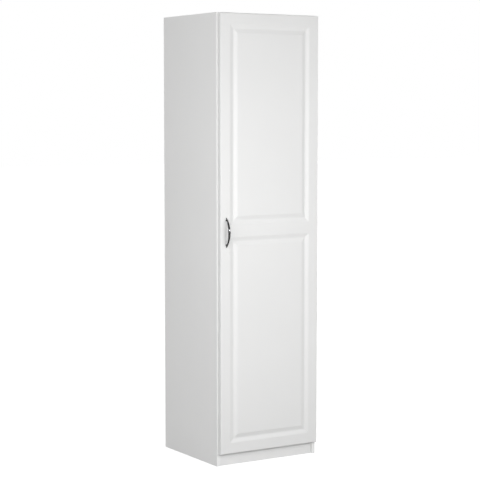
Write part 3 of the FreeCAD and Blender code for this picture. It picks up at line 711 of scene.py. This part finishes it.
edit(pull, "FACE")
bpy.ops.mesh.select_all(action="SELECT")
bpy.ops.transform.translate(value=pull_middle - Vector((0, rise, 0)))
posts = []
for side in (-1, 1):
    foot = pull_middle + Vector((0, 0, side * PULL_CENTRES / 2))
    reach = rise - bow_radius + math.sqrt(bow_radius ** 2 - (PULL_CENTRES / 2) ** 2)
    posts.append(add_rod("pull_post", POST_RADIUS, foot, foot - Vector((0, reach, 0)), POST_SIDES))
for post in posts:
    apply_modifier(pull, "BOOLEAN", object=post, operation="UNION", solver="EXACT")
    bpy.data.objects.remove(post)
edit(pull, "FACE")
bpy.ops.mesh.select_all(action="SELECT")
bpy.ops.mesh.bisect(plane_co=pull_middle, plane_no=(0, -1, 0), clear_inner=True, use_fill=True)
shade(pull, angle=40)
hand_over(pull, "door", "pull_metal", "bow_pull")

# %% [markdown]
# ## Where each solid of a group lies
#
# Identical fasteners share one node in the measured model. To model one and copy it, we need to know
# where each of them sits. The node's loose triangles are merged in a copy, and a walk from vertex to
# vertex gathers each connected solid, whose corners are all that we need.

# %% Find the solids of a group
def solids_of(node):
    """Lowest and highest corner of each separate solid in a node."""
    mesh = bmesh.new()
    mesh.from_mesh(cad_nodes[node].data)
    bmesh.ops.remove_doubles(mesh, verts=mesh.verts, dist=TINY)
    unseen = set(mesh.verts)
    found = []
    while unseen:
        edge_of_walk = [unseen.pop()]
        solid = []
        while edge_of_walk:
            vertex = edge_of_walk.pop()
            solid.append(vertex.co.copy())
            near = {edge.other_vert(vertex) for edge in vertex.link_edges} & unseen
            unseen -= near
            edge_of_walk.extend(near)
        low = Vector(min(point[axis] for point in solid) for axis in range(3))
        high = Vector(max(point[axis] for point in solid) for axis in range(3))
        found.append((low, high))
    mesh.free()
    return sorted(found, key=lambda corners: corners[0].to_tuple(4))


print(f"{len(solids_of('cup_screws'))} cup screws found")

# %% [markdown]
# ## Screws with a cross slot
#
# When the door is open, the screw heads are what tells a real hinge from a toy one. Each kind is modelled
# once, head up along Z: a short rod for the head, with its rim rounded, a shank drawn out of its
# underside by Inset and Extrude, and two thin blocks that cut the cross. Copies are then turned and set
# at each place, and the copies of one kind are joined into one piece.

# %% Model and place the screws
HEAD_HEIGHT = 1.8 * MM
HEAD_ROUND = 0.45 * HEAD_HEIGHT
SCREW_SIDES = 40
SLOT_DEPTH = 1.1 * MM
SLOT_SHARE = 0.62
SLOT_WIDTH = 0.14
FACING_UP = 0.9
SCREWS = {
    "plate_screws": ("carcass", Vector((1, 0, 0)), 5 * MM),
    "arm_screws": ("carcass", Vector((1, 0, 0)), 4 * MM),
    "bracket_screws": ("carcass", Vector((0, 0, 1)), 3.5 * MM),
    "cup_screws": ("door", Vector((0, -1, 0)), 3.5 * MM),
    "pull_screws": ("door", Vector((0, -1, 0)), 4 * MM),
}


def model_screw(name, head_radius, shank_radius, length):
    """A screw that points up +Z, with the underside of its head at the origin."""
    screw = add_rod(name, head_radius, Vector((0, 0, -HEAD_HEIGHT)), Vector((0, 0, 0)), SCREW_SIDES)
    edit(screw, "FACE")
    choose(screw, lambda face: face.normal.z > FACING_UP)
    bpy.ops.mesh.inset(thickness=head_radius - shank_radius)
    bpy.ops.mesh.extrude_region_move(TRANSFORM_OT_translate={"value": (0, 0, length)})
    bpy.ops.mesh.select_mode(type="EDGE")
    choose(screw, lambda edge: all(abs(v.co.z + HEAD_HEIGHT) < TINY for v in edge.verts))
    bpy.ops.mesh.bevel(offset=HEAD_ROUND, segments=5, profile=0.5, affect="EDGES")
    reach, half = SLOT_SHARE * head_radius, SLOT_WIDTH * head_radius
    for size_x, size_y in ((reach, half), (half, reach)):
        corner = Vector((size_x, size_y, SLOT_DEPTH - HEAD_HEIGHT))
        slot = add_block("cross_slot", Vector((-size_x, -size_y, -2 * HEAD_HEIGHT)), corner)
        apply_modifier(screw, "BOOLEAN", object=slot, operation="DIFFERENCE", solver="EXACT")
        bpy.data.objects.remove(slot)
    shade(screw, angle=35)
    return screw


def copies_at(pattern, name, places):
    """Copies of a pattern, each moved by its own matrix in its own mesh, joined into one piece."""
    copies = []
    for place in places:
        copy = bpy.data.objects.new(name, pattern.data.copy())
        copy.data.transform(place)
        scene.collection.objects.link(copy)
        copies.append(copy)
    start_clean()
    for copy in copies:
        copy.select_set(True)
    bpy.context.view_layer.objects.active = copies[0]
    bpy.ops.object.join()
    bpy.data.objects.remove(pattern)
    copies[0].name = name
    return copies[0]


for node, (body, axis, diameter) in SCREWS.items():
    solids = solids_of(node)
    size = solids[0][1] - solids[0][0]
    total = abs(size.dot(axis))
    head_radius = (size - axis * size.dot(axis)).length / math.sqrt(2) / 2
    pattern = model_screw(node + "_pattern", head_radius, diameter / 2, total - HEAD_HEIGHT)
    turn = axis.to_track_quat("Z", "Y").to_matrix().to_4x4()
    seats = [(low + high) / 2 - axis * (total / 2 - HEAD_HEIGHT) for low, high in solids]
    screws = copies_at(pattern, node + "_crossed", [Matrix.Translation(seat) @ turn for seat in seats])
    hand_over(screws, body, "screw_zinc", node)

# %% [markdown]
# ## Door bumpers
#
# A bumper is a clear stick-on dot with a domed top. A rod gives the disc, and a bevel that takes most of
# its height turns the rim into a dome. One is modelled and copied to both corners of the door.

# %% Model the bumpers
DOME_SHARE = 0.7
BUMPER_SIDES = 48

bumper_solids = solids_of("door_bumpers")
bumper_low, bumper_high = bumper_solids[0]
bumper_height = bumper_high.y - bumper_low.y
bumper = add_rod("bumper_pattern", (bumper_high.x - bumper_low.x) / 2, Vector((0, 0, 0)),
                 Vector((0, bumper_height, 0)), BUMPER_SIDES)
edit(bumper, "EDGE")
choose(bumper, lambda edge: all(abs(v.co.y - bumper_height) < TINY for v in edge.verts))
bpy.ops.mesh.bevel(offset=DOME_SHARE * bumper_height, segments=6, profile=0.5, affect="EDGES")
shade(bumper, angle=40)
bumper_feet = [Vector(((low.x + high.x) / 2, low.y, (low.z + high.z) / 2)) for low, high in bumper_solids]
bumpers = copies_at(bumper, "door_bumpers_domed", [Matrix.Translation(foot) for foot in bumper_feet])
hand_over(bumpers, "door", "bumper_clear", "door_bumpers")

# %% [markdown]
# ## Light and air
#
# The photograph has the even, bright look of a studio. Two low strip lights, in front and to the left,
# give an even light with hardly any shadow. A tall narrow one in front is there for the grooves: every
# slope that faces left mirrors it, softly, and so gets the bright line that makes a raised field stand
# out. A small lamp to the right stands where the pull's flat front mirrors it and gives the short white
# glint. Light linking keeps that lamp off the door. A large lamp behind serves the back and the top.
# The rest comes from pale walls, with little from above, so the grooves are dark where they face up.
# White furniture needs restraint, because a surface that reaches full white loses its shape. So the
# lamps are set to a plain level, at which a colour renders about as it is written. The white background
# is made by the air itself: only rays that come straight from the camera, or are mirrored or let
# through, see it at full strength.

# %% Lamps and world
WALL_LIGHT = 1.05
CEILING_LIGHT = 0.02
LIT_POINT = Vector((0, -0.1, 0.9))
LAMPS = {
    "front_strip": {"angle": 0, "distance": 2.2, "height": 1.05, "size": (2.0, 0.2), "power": 17.6},
    "tall_strip": {"angle": 3, "distance": 2.2, "height": 1.1, "size": (0.3, 2.0), "power": 5.5},
    "left_strip": {"angle": 60, "distance": 2.2, "height": 1.3, "size": (2.0, 0.22), "power": 19.0},
    "pull_lamp": {"angle": -27, "distance": 2.13, "height": 1.25, "size": (0.36, 0.16), "power": 9.0},
    "back_lamp": {"angle": -155, "distance": 2.2, "height": 3.0, "size": (1.2, 1.2), "power": 32.0},
}


def add_lamp(name, angle, distance, height, size, power):
    """A lamp of a width and height, aimed at the cabinet and turned left from the front by an angle."""
    start_clean()
    left, ahead = math.sin(math.radians(angle)), math.cos(math.radians(angle))
    place = Vector((-distance * left, door_low.y - distance * ahead, height))
    turn = (LIT_POINT - place).to_track_quat("-Z", "Y").to_euler()
    bpy.ops.object.light_add(type="AREA", location=place, rotation=turn)
    lamp = bpy.context.object
    lamp.name = name
    lamp.data.shape = "RECTANGLE"
    lamp.data.size, lamp.data.size_y = size
    lamp.data.energy = power
    print(f"{name}: {power} W at {place.to_tuple(2)}")
    return lamp


def light_only(lamp, piece):
    """Let a lamp reach one piece and nothing else."""
    reach = bpy.data.collections.new(lamp.name + "_reach")
    reach.objects.link(piece)
    lamp.light_linking.receiver_collection = reach


def seen_directly(tree):
    """1 for rays from the camera, and for mirrored and transmitted ones, and 0 for all others."""
    path = add_node(tree, "ShaderNodeLightPath")
    seen = path.outputs["Is Camera Ray"]
    for kind in ("Is Glossy Ray", "Is Transmission Ray"):
        either = add_node(tree, "ShaderNodeMath", {"operation": "MAXIMUM"})
        tree.links.new(seen, either.inputs[0])
        tree.links.new(path.outputs[kind], either.inputs[1])
        seen = either.outputs["Value"]
    return seen


def light_the_air():
    """A white world where it is seen directly, and for everything else walls brighter than the ceiling."""
    world = bpy.data.worlds.new("studio_air")
    world.use_nodes = True
    tree = world.node_tree
    air = tree.nodes["Background"]
    air.inputs["Color"].default_value = (1, 1, 1, 1)
    way = add_node(tree, "ShaderNodeTexCoord").outputs["Generated"]
    upward = add_node(tree, "ShaderNodeSeparateXYZ", None, {"Vector": way}).outputs["Z"]
    soft = spread(tree, upward, WALL_LIGHT, CEILING_LIGHT)
    strength = spread(tree, seen_directly(tree), soft, 1.0)
    tree.links.new(strength, air.inputs["Strength"])
    scene.world = world


lamps = {name: add_lamp(name, **setting) for name, setting in LAMPS.items()}
light_only(lamps["pull_lamp"], pull)
light_the_air()

# %% [markdown]
# ## The floor
#
# The cabinet stands on a plain pale floor that runs off into the white. Lit alone it would look grey
# next to the background, so rays from the camera see it lifted to white, while its own shading still
# carries the soft shadow at the cabinet's foot. It is stage, and no part of the cabinet.

# %% Floor
FLOOR_SIZE = 60
FLOOR_LIFT = 0.9


def floor_finish():
    """Pale floor with its shadow, lifted to white where it is seen directly."""
    material, tree, shader, spot = new_material("pale_floor")
    cloud = place_group(tree, clouding, Vector=spot, Scale=0.8).outputs["Mask"]
    paint = mix_tones(tree, cloud, (0.26, 0.26, 0.26), (0.25, 0.25, 0.25))
    tree.links.new(paint, shader.inputs["Base Color"])
    shader.inputs["Roughness"].default_value = 0.9
    shader.inputs["Emission Color"].default_value = (1, 1, 1, 1)
    tree.links.new(spread(tree, seen_directly(tree), 0.0, FLOOR_LIFT), shader.inputs["Emission Strength"])
    return material


start_clean()
bpy.ops.mesh.primitive_plane_add(size=FLOOR_SIZE, location=(0, 0, 0))
floor = settle(bpy.context.object, "studio_floor")
floor.data.materials.append(floor_finish())
print("floor laid")

# %% [markdown]
# ## Leave the scene tidy
#
# The last step goes back to object mode, with nothing selected.

# %% Leave the scene tidy
start_clean()
